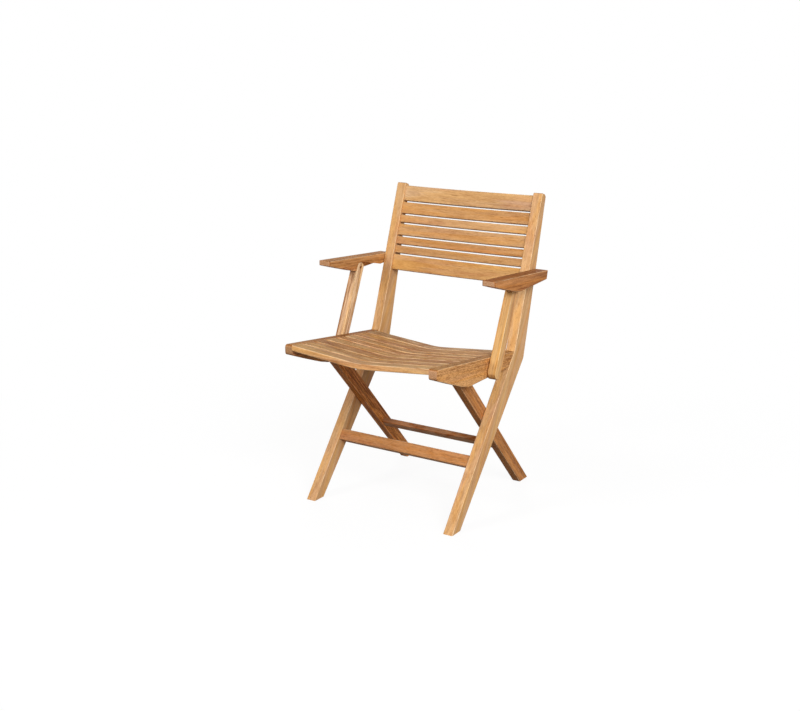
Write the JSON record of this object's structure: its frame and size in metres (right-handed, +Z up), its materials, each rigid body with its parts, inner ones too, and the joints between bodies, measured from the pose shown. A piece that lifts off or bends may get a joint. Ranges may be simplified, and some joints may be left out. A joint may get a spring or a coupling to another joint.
{
  "type": "folding armchair",
  "caption": "Folding wooden armchair with a dished slatted seat, a bowed slatted back, crossed legs and armrests on swinging posts.",
  "frame": {"origin": "middle of the footprint of the open chair, on the floor", "axes": "+Z up, the chair's front faces -Y, the sitter's left hand is at +X"},
  "size_m": [0.574, 0.6065, 0.8699],
  "materials": {
    "frame_timber": "oiled teak, satin",
    "leg_timber": "oiled teak, satin",
    "slat_timber": "oiled teak, satin",
    "arm_timber": "oiled teak, satin",
    "brass": "aged solid brass"
  },
  "bodies": {
    "main_frame": {"left_upright": "frame_timber", "right_upright": "frame_timber", "front_stretcher": "frame_timber", "back_slat_1": "slat_timber", "back_slat_2": "slat_timber", "back_slat_3": "slat_timber", "back_slat_4": "slat_timber", "back_slat_5": "slat_timber", "back_slat_6": "slat_timber", "back_slat_7": "slat_timber", "fold_pivot_pins": "brass", "fold_pivot_washers": "brass", "arm_pivot_pins": "brass", "arm_pivot_washers": "brass"},
    "leg_frame": {"left_rear_leg": "leg_timber", "right_rear_leg": "leg_timber", "rear_stretcher": "leg_timber"},
    "seat_frame": {"left_seat_rail": "frame_timber", "right_seat_rail": "frame_timber", "seat_slat_1": "slat_timber", "seat_slat_2": "slat_timber", "seat_slat_3": "slat_timber", "seat_slat_4": "slat_timber", "seat_slat_5": "slat_timber", "seat_slat_6": "slat_timber", "seat_slat_7": "slat_timber", "seat_slat_8": "slat_timber", "seat_pivot_pins": "brass", "seat_pivot_washers": "brass", "stay_pins": "brass", "stay_washers": "brass"},
    "left_arm": {"left_armrest": "arm_timber", "left_post_bolt": "brass"},
    "right_arm": {"right_armrest": "arm_timber", "right_post_bolt": "brass"},
    "left_stay": {"left_post": "arm_timber", "left_post_cup": "brass"},
    "right_stay": {"right_post": "arm_timber", "right_post_cup": "brass"}
  },
  "joints": [
    {"name": "leg_fold", "type": "hinge", "parent": "main_frame", "child": "leg_frame", "pos_m": [0, 0.024, 0.262], "axis": [1, 0, 0], "range_deg": [-63, 0]},
    {"name": "seat_fold", "type": "hinge", "parent": "leg_frame", "child": "seat_frame", "pos_m": [0, -0.125, 0.42197], "axis": [1, 0, 0], "range_deg": [0, 137]},
    {"name": "left_arm_fold", "type": "hinge", "parent": "main_frame", "child": "left_arm", "pos_m": [0, 0.228, 0.646], "axis": [1, 0, 0], "range_deg": [-89.64, 0]},
    {"name": "left_post_fold", "type": "hinge", "parent": "left_arm", "child": "left_stay", "pos_m": [0, 0.077, 0.638], "axis": [1, 0, 0], "range_deg": [0, 93.67]},
    {"name": "right_arm_fold", "type": "hinge", "parent": "main_frame", "child": "right_arm", "pos_m": [0, 0.228, 0.646], "axis": [1, 0, 0], "range_deg": [-89.64, 0]},
    {"name": "right_post_fold", "type": "hinge", "parent": "right_arm", "child": "right_stay", "pos_m": [0, 0.077, 0.638], "axis": [1, 0, 0], "range_deg": [0, 93.67]}
  ],
  "couplings": [
    {"joint": "seat_fold", "follows": "leg_fold", "ratio": -2.1746},
    {"joint": "left_arm_fold", "follows": "leg_fold", "ratio": 1.4228},
    {"joint": "left_post_fold", "follows": "leg_fold", "ratio": -1.4868},
    {"joint": "right_arm_fold", "follows": "leg_fold", "ratio": 1.4228},
    {"joint": "right_post_fold", "follows": "leg_fold", "ratio": -1.4868}
  ]
}
